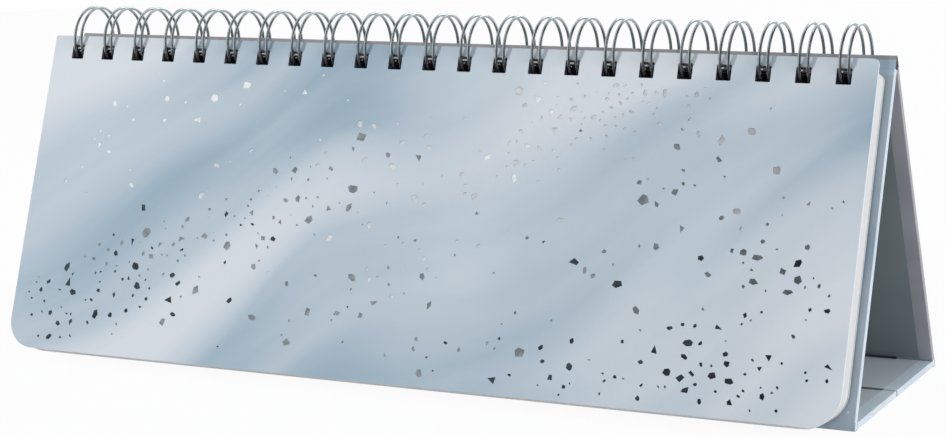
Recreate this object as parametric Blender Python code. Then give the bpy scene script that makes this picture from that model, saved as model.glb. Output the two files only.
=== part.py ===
# Desk calendar: a folding board stand with a pad of leaves hung on a twin-loop wire.
# Metres, +Z up, front towards -Y, resting on z = 0. Built in millimetres and scaled once.
import math
import bpy
from mathutils import Vector
from mathutils.geometry import delaunay_2d_cdt

for old in list(bpy.data.objects):
    bpy.data.objects.remove(old, do_unlink=True)

MM = 0.001

# Stand
BASE_DEPTH = 83.2
PANEL_SLOPE_LENGTH = 115.3
STAND_WIDTH = 300.3
PANEL_THICKNESS = 2.0
PAPER = 0.25
GLUE_GAP = 0.08
TURN_IN = 12.0
LINER = 0.2
LINER_SIDE_GAP = 0.3
CREASE_HALF_GAP = 0.35
BOARD_EDGE_GAP = 0.15

# Pad. Heights run up the front panel from its foot, and drops run down it from the ridge
COVER_WIDTH = 300.0
COVER_TOP_DROP = 5.9
COVER_BOTTOM = -1.1
COVER_OUTER = 15.5
COVER_THICKNESS = 0.6
LEAF_WIDTH = 295.3
LEAF_TOP_DROP = 7.7
LEAF_BOTTOM = 1.3
LEAVES_OUTER = 14.5
LEAVES_PITCH = 1.065
LEAVES_THICKNESS = 0.83
# Leaves that pass over the ridge when they turn sit lower, in a shallow dish round one distance
DISH_OUT = 11.1
DISH_REACH = 3.2
DISH_DEPTH = 2.8
BACKING_OUTER = 1.5
BACKING_THICKNESS = 0.6
BOTTOM_CORNER_RADIUS = 10.0
TOP_CORNER_RADIUS = 1.7

MONTHS = (
    "january",
    "february",
    "march",
    "april",
    "may",
    "june",
    "july",
    "august",
    "september",
    "october",
    "november",
    "december",
)

# Punching, with each slot given by its lower and upper drop
HOLE_PITCH = 12.7
HOLE_END_MARGIN = 7.0
HOLE_WIDTH = 4.85
HOLE_HEIGHT = 5.05
COVER_HOLE_DROP = 9.05
WIRE_SEAT_GAP = 0.3
FRONT_SLOT_DROPS = (15.55, 10.55)
BACK_SLOT_DROPS = (12.0, 6.9)
LINER_DROP = 17.55

# Twin-loop wire
WIRE_DIAMETER = 1.0
LOOP_RADIUS = 11.35
LOOP_OUT = 5.7
LOOP_DROP = 4.7
LOOP_HALF_SPACING = 1.365
SEAM_ANGLE = -59.0
LOOP_SWEEP = 350.0
BEND_RADIUS = 1.1
ARC_STEPS = 12
WIRE_SIDES = 5

# Derived stand geometry
LEAN = math.asin(BASE_DEPTH / 2 / PANEL_SLOPE_LENGTH)
SIN = math.sin(LEAN)
COS = math.cos(LEAN)
APEX_Z = PANEL_SLOPE_LENGTH * COS
FOOT_ANGLE = math.pi / 2 - LEAN
FOOT_INSET = PANEL_THICKNESS / math.tan(FOOT_ANGLE / 2)
RIDGE_DROP = PANEL_THICKNESS / math.tan(LEAN)
FOOT_AXIS = (0.0, -BASE_DEPTH / 2 + FOOT_INSET, PANEL_THICKNESS)
REAR_FOOT_AXIS = (0.0, BASE_DEPTH / 2 - FOOT_INSET, PANEL_THICKNESS)
RIDGE_AXIS = (0.0, 0.0, APEX_Z - PANEL_THICKNESS / SIN)
BOARD_START = FOOT_INSET + BOARD_EDGE_GAP
BOARD_TOP = PANEL_SLOPE_LENGTH - RIDGE_DROP - BOARD_EDGE_GAP
LINER_TOP = PANEL_SLOPE_LENGTH - LINER_DROP
CREASE_END = BASE_DEPTH / 2 - CREASE_HALF_GAP

# Derived heights up the front panel
COVER_TOP = PANEL_SLOPE_LENGTH - COVER_TOP_DROP
COVER_HOLE_TOP = PANEL_SLOPE_LENGTH - COVER_HOLE_DROP
LEAF_TOP = PANEL_SLOPE_LENGTH - LEAF_TOP_DROP
LEAF_HEIGHT = LEAF_TOP - LEAF_BOTTOM
FRONT_SLOT = [PANEL_SLOPE_LENGTH - drop for drop in FRONT_SLOT_DROPS]
BACK_SLOT = [PANEL_SLOPE_LENGTH - drop for drop in BACK_SLOT_DROPS]
LOOP_UP = PANEL_SLOPE_LENGTH - LOOP_DROP

# The row of holes fills the narrowest piece that it goes through
PUNCHED_WIDTH = min(STAND_WIDTH, COVER_WIDTH, LEAF_WIDTH) - 2 * HOLE_END_MARGIN
HOLE_COUNT = 1 + int(PUNCHED_WIDTH / HOLE_PITCH)


def front_point(x, up, out):
    """A point given by its height up the front panel and its distance out from that panel's face."""
    return (x, -BASE_DEPTH / 2 + up * SIN - out * COS, up * COS + out * SIN)


def back_point(x, up, out):
    x, y, z = front_point(x, up, out)
    return (x, -y, z)


def base_front_point(x, along, out):
    """Along runs back from the front foot, out runs down from the underside."""
    return (x, -BASE_DEPTH / 2 + along, -out)


def base_rear_point(x, along, out):
    x, y, z = base_front_point(x, along, out)
    return (x, -y, z)


LOOP_AXIS = front_point(0.0, LOOP_UP, LOOP_OUT)

# The model's origin lies under the middle of the whole footprint, pad included
FOOTPRINT_FRONT = front_point(0.0, COVER_BOTTOM, COVER_OUTER)[1]
FOOTPRINT_BACK = BASE_DEPTH / 2
ORIGIN_Y = (FOOTPRINT_FRONT + FOOTPRINT_BACK) / 2

COLOURS = {
    "wire": ((0.42, 0.43, 0.44), 0.28, 1.0),
    "cover": ((0.56, 0.64, 0.70), 0.35, 0.0),
    "paper": ((0.86, 0.85, 0.83), 0.75, 0.0),
    "backing": ((0.70, 0.70, 0.69), 0.8, 0.0),
    "greyboard": ((0.42, 0.40, 0.36), 0.9, 0.0),
    "blue_wrap": ((0.45, 0.56, 0.63), 0.45, 0.0),
    "taupe_wrap": ((0.21, 0.20, 0.22), 0.45, 0.0),
    "liner": ((0.24, 0.26, 0.28), 0.7, 0.0),
}


def material_for(name, key):
    colour, roughness, metallic = COLOURS[key]
    material = bpy.data.materials.new(name + "_material")
    material.use_nodes = True
    shader = material.node_tree.nodes["Principled BSDF"]
    shader.inputs["Base Color"].default_value = (*colour, 1.0)
    shader.inputs["Roughness"].default_value = roughness
    shader.inputs["Metallic"].default_value = metallic
    return material


def signed_volume(points, faces):
    total = 0.0
    for face in faces:
        a = Vector(points[face[0]])
        for k in range(1, len(face) - 1):
            total += a.dot(Vector(points[face[k]]).cross(Vector(points[face[k + 1]])))
    return total


def add_piece(name, key, points, faces, origin=(0.0, 0.0, 0.0), smooth=False):
    """One closed piece from millimetre points, with its object origin on its joint axis."""
    if signed_volume(points, faces) < 0:
        faces = [tuple(reversed(face)) for face in faces]
    mesh = bpy.data.meshes.new(name)
    local = [[(p[k] - origin[k]) * MM for k in range(3)] for p in points]
    mesh.from_pydata(local, [], faces)
    mesh.validate()
    mesh.materials.append(material_for(name, key))
    for polygon in mesh.polygons:
        polygon.use_smooth = smooth
    piece = bpy.data.objects.new(name, mesh)
    piece.location = [origin[0] * MM, (origin[1] - ORIGIN_Y) * MM, origin[2] * MM]
    bpy.context.collection.objects.link(piece)
    return piece


def hole_centres():
    return [(k - (HOLE_COUNT - 1) / 2) * HOLE_PITCH for k in range(HOLE_COUNT)]


def hole_loops(low, high):
    loops = []
    for x in hole_centres():
        left = x - HOLE_WIDTH / 2
        right = x + HOLE_WIDTH / 2
        loops.append([(left, low), (left, high), (right, high), (right, low)])
    return loops


def rounded_outline(width, low, high, bottom_radius, top_radius):
    """Counter-clockwise outline of a sheet, seen from its face."""
    left = -width / 2
    right = width / 2
    corners = [
        (left + bottom_radius, low + bottom_radius, bottom_radius, 180, 5),
        (right - bottom_radius, low + bottom_radius, bottom_radius, 270, 5),
        (right - top_radius, high - top_radius, top_radius, 0, 2),
        (left + top_radius, high - top_radius, top_radius, 90, 2),
    ]
    outline = []
    for cx, cy, radius, start, steps in corners:
        for k in range(steps + 1):
            angle = math.radians(start + 90 * k / steps)
            outline.append((cx + radius * math.cos(angle), cy + radius * math.sin(angle)))
    return outline


def inside(point, loop):
    crossings = 0
    for k, (x0, y0) in enumerate(loop):
        x1, y1 = loop[(k + 1) % len(loop)]
        if (y0 > point[1]) != (y1 > point[1]):
            if point[0] < x0 + (point[1] - y0) * (x1 - x0) / (y1 - y0):
                crossings += 1
    return crossings % 2 == 1


def cap(loops):
    """Triangles that fill an outline with holes, as indices into all loops joined in order."""
    flat = [Vector(corner) for loop in loops for corner in loop]
    edges = []
    for loop in loops:
        start = len(edges)
        edges += [(start + k, start + (k + 1) % len(loop)) for k in range(len(loop))]
    made = delaunay_2d_cdt(flat, edges, [], 0, 1e-7, True)
    source = [ids[0] for ids in made[3]]
    triangles = []
    for face in made[2]:
        a, b, c = (source[k] for k in face)
        centre = (flat[a] + flat[b] + flat[c]) / 3
        if not inside(centre, loops[0]) or any(inside(centre, hole) for hole in loops[1:]):
            continue
        left = (flat[b] - flat[a]).cross(flat[c] - flat[a])
        triangles.append((a, b, c) if left > 0 else (a, c, b))
    return triangles


def sheet_piece(name, key, to_world, loops, inner, outer, origin=(0.0, 0.0, 0.0)):
    """A flat sheet between two distances out from a panel's face, with holes right through."""
    points = []
    for level in (inner, outer):
        for loop in loops:
            points += [to_world(x, up, level) for x, up in loop]
    count = len(points) // 2
    faces = []
    for a, b, c in cap(loops):
        faces.append((a, c, b))
        faces.append((a + count, b + count, c + count))
    start = 0
    for order, loop in enumerate(loops):
        size = len(loop)
        for k in range(size):
            a = start + k
            b = start + (k + 1) % size
            faces.append((a, b, b + count, a + count))
        start += size
    add_piece(name, key, points, faces, origin)


def rectangle(left, right, low, high):
    return [(left, low), (right, low), (right, high), (left, high)]


def board_piece(name, to_world, start, end, holes, origin):
    """Greyboard core that lies between the wrap's face and its turned-in edges."""
    half = STAND_WIDTH / 2 - PAPER - GLUE_GAP
    outer = -(PAPER + GLUE_GAP)
    inner = -(PANEL_THICKNESS - PAPER - GLUE_GAP)
    loops = [rectangle(-half, half, start, end)] + holes
    sheet_piece(name, "greyboard", to_world, loops, inner, outer, origin)


def liner_piece(name, to_world, start, end, origin):
    half = STAND_WIDTH / 2 - TURN_IN - LINER_SIDE_GAP
    outer = -(PANEL_THICKNESS - PAPER)
    loops = [rectangle(-half, half, start, end)]
    sheet_piece(name, "liner", to_world, loops, outer - LINER, outer, origin)


class Skin:
    """Collects faces of one piece over shared points."""

    def __init__(self, to_world):
        self.to_world = to_world
        self.index = {}
        self.points = []
        self.faces = []

    def at(self, x, up, out):
        key = (round(x, 6), round(up, 6), round(out, 6))
        if key not in self.index:
            self.index[key] = len(self.points)
            self.points.append(self.to_world(x, up, out))
        return self.index[key]

    def face(self, corners):
        self.faces.append(tuple(self.at(*corner) for corner in corners))

    def plate(self, loops, out):
        flat = [corner for loop in loops for corner in loop]
        for triangle in cap(loops):
            self.face([(*flat[k], out) for k in triangle])

    def wall(self, line, out_a, out_b):
        for (xa, ua), (xb, ub) in zip(line, line[1:]):
            self.face([(xa, ua, out_a), (xb, ub, out_a), (xb, ub, out_b), (xa, ua, out_b)])


def turn_in_edge(side, start, end, holes):
    """Inner edge of a turned-in strip, cut away where the end hole of the row crosses it."""
    edge = side * (STAND_WIDTH / 2 - TURN_IN)
    line = [(edge, start)]
    for hole in holes:
        far = max(side * x for x, up in hole)
        near = min(side * x for x, up in hole)
        if near < side * edge < far:
            low = min(up for x, up in hole)
            high = max(up for x, up in hole)
            line += [(edge, low), (side * far, low), (side * far, high), (edge, high)]
    return line + [(edge, end)]


def turn_in_holes(side, holes):
    """Holes of the row that lie wholly within a turned-in strip."""
    edge = STAND_WIDTH / 2 - TURN_IN
    return [hole for hole in holes if min(side * x for x, up in hole) > edge]


def wrap_piece(name, key, to_world, start, end, holes, origin):
    """Covering paper: a face with both side edges folded round and turned in behind the board."""
    half = STAND_WIDTH / 2
    inner_half = half - PAPER
    deep = -PANEL_THICKNESS
    skin = Skin(to_world)
    skin.plate([rectangle(-half, half, start, end)] + holes, 0.0)
    skin.plate([rectangle(-inner_half, inner_half, start, end)] + holes, -PAPER)
    for hole in holes:
        skin.wall(hole + hole[:1], 0.0, -PAPER)
    for side in (-1, 1):
        edge = turn_in_edge(side, start, end, holes)
        skin.wall([(side * half, start), (side * half, end)], 0.0, deep)
        skin.wall([(side * inner_half, start), (side * inner_half, end)], -PAPER, deep + PAPER)
        skin.wall(edge, deep, deep + PAPER)
        enclosed = turn_in_holes(side, holes)
        for hole in enclosed:
            skin.wall(hole + hole[:1], deep, deep + PAPER)
        for reach, out in ((half, deep), (inner_half, deep + PAPER)):
            loop = edge + [(side * reach, end), (side * reach, start)]
            skin.plate([loop] + enclosed, out)
    profile = [(half, 0.0), (half, deep), (half - TURN_IN, deep), (half - TURN_IN, deep + PAPER)]
    profile += [(inner_half, deep + PAPER), (inner_half, -PAPER)]
    section = profile + [(-x, out) for x, out in reversed(profile)]
    for up in (start, end):
        for triangle in cap([section]):
            skin.face([(section[k][0], up, section[k][1]) for k in triangle])
    add_piece(name, key, skin.points, orient(skin.faces), origin)


def orient(faces):
    """Turns every face so that neighbours agree along their shared edges."""
    by_edge = {}
    for number, face in enumerate(faces):
        for k in range(len(face)):
            edge = frozenset((face[k], face[(k + 1) % len(face)]))
            by_edge.setdefault(edge, []).append(number)
    fixed = {0: faces[0]}
    queue = [0]
    while queue:
        number = queue.pop()
        face = fixed[number]
        for k in range(len(face)):
            a = face[k]
            b = face[(k + 1) % len(face)]
            for other in by_edge[frozenset((a, b))]:
                if other in fixed:
                    continue
                there = faces[other]
                same = any(
                    there[j] == a and there[(j + 1) % len(there)] == b for j in range(len(there))
                )
                fixed[other] = tuple(reversed(there)) if same else tuple(there)
                queue.append(other)
    return [fixed[k] for k in range(len(faces))]


def strip_piece(name, key, profile, half, origin):
    """A strip of folded paper: its section in the YZ plane, run across the width."""
    size = len(profile)
    points = [(-half, y, z) for y, z in profile] + [(half, y, z) for y, z in profile]
    faces = []
    for k in range(size):
        nxt = (k + 1) % size
        faces.append((k, nxt, nxt + size, k + size))
    for a, b, c in cap([profile]):
        faces.append((a, c, b))
        faces.append((a + size, b + size, c + size))
    faces = orient(faces)
    add_piece(name, key, points, faces, origin)


def rounded_fold(first, corner, last, radius, steps):
    """Points from first to last with the corner between them rounded."""
    a = Vector(first)
    b = Vector(corner)
    c = Vector(last)
    u = (a - b).normalized()
    v = (c - b).normalized()
    half = u.angle(v) / 2
    reach = radius / math.tan(half)
    centre = b + (u + v).normalized() * (radius / math.sin(half))
    p = b + u * reach - centre
    q = b + v * reach - centre
    points = [tuple(a)]
    total = p.angle_signed(q)
    for k in range(steps + 1):
        angle = -total * k / steps
        turned = Vector((
            p.x * math.cos(angle) - p.y * math.sin(angle),
            p.x * math.sin(angle) + p.y * math.cos(angle),
        ))
        points.append(tuple(centre + turned))
    points.append(tuple(c))
    return points


def fold_strip(name, key, first, corner, last, half, radius, origin):
    """Paper of even thickness folded round a rounded corner."""
    outer = rounded_fold(first, corner, last, radius, 4)
    a = Vector(first)
    b = Vector(corner)
    c = Vector(last)
    u = (a - b).normalized()
    v = (c - b).normalized()
    half_angle = u.angle(v) / 2
    inner_corner = b + (u + v).normalized() * (PAPER / math.sin(half_angle))
    shift = PAPER / math.tan(half_angle)
    inner_first = inner_corner + u * ((a - b).length - shift)
    inner_last = inner_corner + v * ((c - b).length - shift)
    inner = rounded_fold(
        tuple(inner_first), tuple(inner_corner), tuple(inner_last), radius - PAPER, 4
    )
    strip_piece(name, key, outer + list(reversed(inner)), half, origin)


# Front panel, back panel and the two halves of the base
front_holes = hole_loops(*FRONT_SLOT)
back_holes = hole_loops(*BACK_SLOT)

board_piece("front_board", front_point, BOARD_START, BOARD_TOP, front_holes, (0, 0, 0))
wrap_piece(
    "front_wrap", "blue_wrap", front_point, BOARD_START, BOARD_TOP, front_holes, (0, 0, 0)
)
liner_piece("front_liner", front_point, BOARD_START + 1.0, LINER_TOP, (0, 0, 0))

board_piece("back_board", back_point, BOARD_START, BOARD_TOP, back_holes, RIDGE_AXIS)
wrap_piece(
    "back_wrap", "taupe_wrap", back_point, BOARD_START, BOARD_TOP, back_holes, RIDGE_AXIS
)
liner_piece("back_liner", back_point, BOARD_START + 1.0, LINER_TOP, RIDGE_AXIS)

for side, to_world, axis in (
    ("front", base_front_point, FOOT_AXIS),
    ("rear", base_rear_point, REAR_FOOT_AXIS),
):
    board_piece("base_" + side + "_board", to_world, BOARD_START, CREASE_END, [], axis)
    wrap_piece(
        "base_" + side + "_wrap", "blue_wrap", to_world, BOARD_START, CREASE_END, [], axis
    )
    liner_piece("base_" + side + "_liner", to_world, BOARD_START + 1.0, CREASE_END - 0.6, axis)

# Folded paper that joins the boards at the ridge and at both feet
STRIP_GAP = 0.2
foot_up = front_point(0, BOARD_START - STRIP_GAP, 0)
foot_along = base_front_point(0, BOARD_START - STRIP_GAP, 0)
foot_corner = (-BASE_DEPTH / 2, 0.0)
strip_half = STAND_WIDTH / 2
fold_strip(
    "front_foot_fold",
    "blue_wrap",
    (foot_up[1], foot_up[2]),
    foot_corner,
    (foot_along[1], foot_along[2]),
    strip_half,
    0.6,
    (0, 0, 0),
)
fold_strip(
    "rear_foot_fold",
    "taupe_wrap",
    (-foot_up[1], foot_up[2]),
    (-foot_corner[0], 0.0),
    (-foot_along[1], foot_along[2]),
    strip_half,
    0.6,
    RIDGE_AXIS,
)
ridge_front = front_point(0, BOARD_TOP + STRIP_GAP, 0)
fold_strip(
    "ridge_strip",
    "taupe_wrap",
    (ridge_front[1], ridge_front[2]),
    (0.0, APEX_Z),
    (-ridge_front[1], ridge_front[2]),
    strip_half,
    0.6,
    (0, 0, 0),
)


# Pad of leaves
def seat_height(outer, inner):
    """Height at which a sheet's holes hang just clear of the wire that carries it."""
    reach = LOOP_RADIUS - WIRE_DIAMETER / 2
    heights = []
    for level in (outer, inner):
        heights.append(LOOP_UP - math.sqrt(reach**2 - (level - LOOP_OUT) ** 2))
    return max(heights) + WIRE_SEAT_GAP


def pad_sheet(name, key, outer, thickness, low, high, width, hole_top):
    outline = rounded_outline(width, low, high, BOTTOM_CORNER_RADIUS, TOP_CORNER_RADIUS)
    loops = [outline] + hole_loops(hole_top - HOLE_HEIGHT, hole_top)
    sheet_piece(name, key, front_point, loops, outer - thickness, outer, LOOP_AXIS)


def leaf_sheet(name, key, outer, thickness):
    hole_top = seat_height(outer, outer - thickness)
    from_dish = abs(outer - thickness / 2 - DISH_OUT)
    high = LEAF_TOP - DISH_DEPTH * max(0.0, 1.0 - from_dish / DISH_REACH)
    pad_sheet(name, key, outer, thickness, high - LEAF_HEIGHT, high, LEAF_WIDTH, hole_top)


pad_sheet(
    "front_cover",
    "cover",
    COVER_OUTER,
    COVER_THICKNESS,
    COVER_BOTTOM,
    COVER_TOP,
    COVER_WIDTH,
    COVER_HOLE_TOP,
)
for order, month in enumerate(MONTHS):
    outer = LEAVES_OUTER - order * LEAVES_PITCH
    leaf_sheet(month + "_leaves", "paper", outer, LEAVES_THICKNESS)
leaf_sheet("backing_card", "backing", BACKING_OUTER, BACKING_THICKNESS)


# Twin-loop wire: one continuous wire bent into paired loops and closed inside the stand
def wire_path():
    """Points as (x, angle round the loop axis in radians), from one cut end to the other."""
    top = math.radians(SEAM_ANGLE)
    tip = top - math.radians(LOOP_SWEEP)
    bend = BEND_RADIUS / LOOP_RADIUS
    turn = LOOP_HALF_SPACING / LOOP_RADIUS
    start = top - bend
    stop = tip + turn
    diagonal = math.sqrt(0.5)
    path = []
    for order, x in enumerate(hole_centres()):
        left = x - LOOP_HALF_SPACING
        right = x + LOOP_HALF_SPACING
        if order > 0:
            path.append((left - BEND_RADIUS, top))
            path.append((left - BEND_RADIUS * (1 - diagonal), top - bend * (1 - diagonal)))
        for k in range(ARC_STEPS + 1):
            path.append((left, start + (stop - start) * k / ARC_STEPS))
        for angle in (45, 90, 135):
            a = math.radians(angle)
            path.append((x - LOOP_HALF_SPACING * math.cos(a), stop - turn * math.sin(a)))
        for k in range(ARC_STEPS + 1):
            path.append((right, stop + (start - stop) * k / ARC_STEPS))
        if order < HOLE_COUNT - 1:
            path.append((right + BEND_RADIUS * (1 - diagonal), top - bend * (1 - diagonal)))
            path.append((right + BEND_RADIUS, top))
    return path


def wire_piece():
    step = (math.radians(LOOP_SWEEP)) / ARC_STEPS
    radius = LOOP_RADIUS * (1 + (1 - math.cos(step / 2)) / 2)
    path = wire_path()
    count = len(path)
    points = []
    for k, (x, angle) in enumerate(path):
        before = path[max(k - 1, 0)]
        after = path[min(k + 1, count - 1)]
        here = (x, angle)
        into = Vector((here[0] - before[0], (here[1] - before[1]) * LOOP_RADIUS))
        out = Vector((after[0] - here[0], (after[1] - here[1]) * LOOP_RADIUS))
        if into.length == 0:
            into = out
        if out.length == 0:
            out = into
        into.normalize()
        out.normalize()
        run = (into + out).normalized()
        widen = 1 / max(run.dot(out), 0.7)
        side = Vector((-run.y, run.x))
        radial = Vector((0.0, math.cos(angle), math.sin(angle)))
        around = Vector((0.0, -math.sin(angle), math.cos(angle)))
        across = Vector((side.x, 0.0, 0.0)) + around * side.y
        centre = Vector((x, LOOP_AXIS[1], LOOP_AXIS[2])) + radial * radius
        for n in range(WIRE_SIDES):
            a = 2 * math.pi * n / WIRE_SIDES
            offset = radial * math.cos(a) + across * (math.sin(a) * widen)
            points.append(tuple(centre + offset * (WIRE_DIAMETER / 2)))
    faces = []
    for k in range(count - 1):
        for n in range(WIRE_SIDES):
            nxt = (n + 1) % WIRE_SIDES
            a = k * WIRE_SIDES + n
            b = k * WIRE_SIDES + nxt
            faces.append((a, b, b + WIRE_SIDES, a + WIRE_SIDES))
    last = (count - 1) * WIRE_SIDES
    faces.append(tuple(reversed(range(WIRE_SIDES))))
    faces.append(tuple(range(last, last + WIRE_SIDES)))
    add_piece("wire_binding", "wire", points, faces, (0, 0, 0), smooth=True)


wire_piece()
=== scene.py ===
import math
import random
import bmesh
import bpy
from mathutils import Matrix, Vector
from mathutils.geometry import delaunay_2d_cdt


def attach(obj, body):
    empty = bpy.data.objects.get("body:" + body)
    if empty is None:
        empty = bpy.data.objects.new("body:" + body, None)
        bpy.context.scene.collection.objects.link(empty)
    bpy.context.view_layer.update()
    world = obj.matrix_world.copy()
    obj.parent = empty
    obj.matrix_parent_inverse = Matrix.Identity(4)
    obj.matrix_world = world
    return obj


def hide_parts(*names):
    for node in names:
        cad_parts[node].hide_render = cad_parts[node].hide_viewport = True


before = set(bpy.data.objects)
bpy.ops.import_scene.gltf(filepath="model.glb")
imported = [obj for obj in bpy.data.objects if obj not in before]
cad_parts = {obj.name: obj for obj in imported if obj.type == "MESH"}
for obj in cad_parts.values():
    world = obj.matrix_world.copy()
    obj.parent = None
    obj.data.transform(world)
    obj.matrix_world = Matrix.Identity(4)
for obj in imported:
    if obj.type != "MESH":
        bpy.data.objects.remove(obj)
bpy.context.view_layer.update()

scene = bpy.context.scene
MM = 0.001

# Sizes in millimetres, as in the solid model
BASE_DEPTH = 83.2
PANEL = 115.3
STAND_WIDTH = 300.3
THICK = 2.0
PAPER = 0.25
TURN_IN = 12.0
CREASE_HALF_GAP = 0.35
COVER_WIDTH = 300.0
COVER_TOP = 109.4
COVER_BOTTOM = -1.1
COVER_OUTER = 15.5
COVER_THICK = 0.6
LEAF_WIDTH = 295.3
LEAF_HEIGHT = 106.3
LEAF_TOP = 107.6
LEAVES_OUTER = 14.5
LEAVES_PITCH = 1.065
LEAVES_THICK = 0.83
DISH_OUT = 11.1
DISH_REACH = 3.2
DISH_DEPTH = 2.8
BACKING_OUTER = 1.5
BACKING_THICK = 0.6
CORNER = 10.0
TOP_CORNER = 1.7
COVER_LEFT_CORNER = 0.6
HOLES = 23
PITCH = 12.7
HOLE_WIDTH = 4.85
HOLE_HEIGHT = 5.05
COVER_HOLE_TOP = 106.25
FRONT_SLOT = (99.75, 104.75)
BACK_SLOT = (103.3, 108.4)
WIRE = 1.0
LOOP_RADIUS = 11.35
LOOP_OUT = 5.7
LOOP_UP = 110.6
HALF_SPACING = 1.365
SEAM = -59.0
SWEEP = 350.0
BEND = 1.1
MONTHS = (
    "january", "february", "march", "april", "may", "june",
    "july", "august", "september", "october", "november", "december",
)

# Slope of the panels, ends of the boards, and the origin, midway from front to back
LEAN = math.asin(BASE_DEPTH / 2 / PANEL)
SIN = math.sin(LEAN)
COS = math.cos(LEAN)
APEX_Z = PANEL * COS
FOOT_INSET = THICK / math.tan((math.pi / 2 - LEAN) / 2)
BOARD_START = FOOT_INSET + 0.15
BOARD_TOP = PANEL - THICK / math.tan(LEAN) - 0.15
CREASE_END = BASE_DEPTH / 2 - CREASE_HALF_GAP
FRONT_Y = -BASE_DEPTH / 2 + COVER_BOTTOM * SIN - COVER_OUTER * COS
ORIGIN_Y = (FRONT_Y + BASE_DEPTH / 2) / 2


# A place on each board: across it, up or along it, and out from its outer face
def front(x, up, out):
    return (x, -BASE_DEPTH / 2 + up * SIN - out * COS - ORIGIN_Y, up * COS + out * SIN)


def back(x, up, out):
    return (x, BASE_DEPTH / 2 - up * SIN + out * COS - ORIGIN_Y, up * COS + out * SIN)


def base_front(x, along, out):
    return (x, -BASE_DEPTH / 2 + along - ORIGIN_Y, -out)


def base_rear(x, along, out):
    return (x, BASE_DEPTH / 2 - along - ORIGIN_Y, -out)


# Camera: yaw, pitch and roll in degrees, place in millimetres, focal length in frame pixels
CAMERA_ANGLES = (-27.5831, -10.9984, -1.9421)
CAMERA_PLACE = (363.854, -688.799, 198.812)
FOCAL_PIXELS = 2370.128
FRAME_PIXELS = 945.0
SENSOR_WIDTH = 36.0


def add_camera():
    yaw, pitch, roll = (math.radians(angle) for angle in CAMERA_ANGLES)
    east = math.sin(yaw) * math.cos(pitch)
    north = math.cos(yaw) * math.cos(pitch)
    ahead = Vector((east, north, math.sin(pitch)))
    level = Vector((math.cos(yaw), -math.sin(yaw), 0.0))
    upright = level.cross(ahead)
    right = level * math.cos(roll) + upright * math.sin(roll)
    up = upright * math.cos(roll) - level * math.sin(roll)
    data = bpy.data.cameras.new("camera")
    data.sensor_width = SENSOR_WIDTH
    data.lens = FOCAL_PIXELS * SENSOR_WIDTH / FRAME_PIXELS
    data.clip_start = 0.01
    data.clip_end = 20.0
    camera = bpy.data.objects.new("camera", data)
    turn = Matrix((right, up, -ahead)).transposed().to_4x4()
    x, y, z = CAMERA_PLACE
    place = Vector((x, y - ORIGIN_Y, z)) * MM
    camera.matrix_world = Matrix.Translation(place) @ turn
    scene.collection.objects.link(camera)
    scene.camera = camera


add_camera()
scene.view_settings.view_transform = "Standard"


# Materials
def linear(srgb):
    return tuple(c / 12.92 if c <= 0.04045 else ((c + 0.055) / 1.055) ** 2.4 for c in srgb)


def rgb(r, g, b):
    return (*linear((r / 255, g / 255, b / 255)), 1.0)


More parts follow.
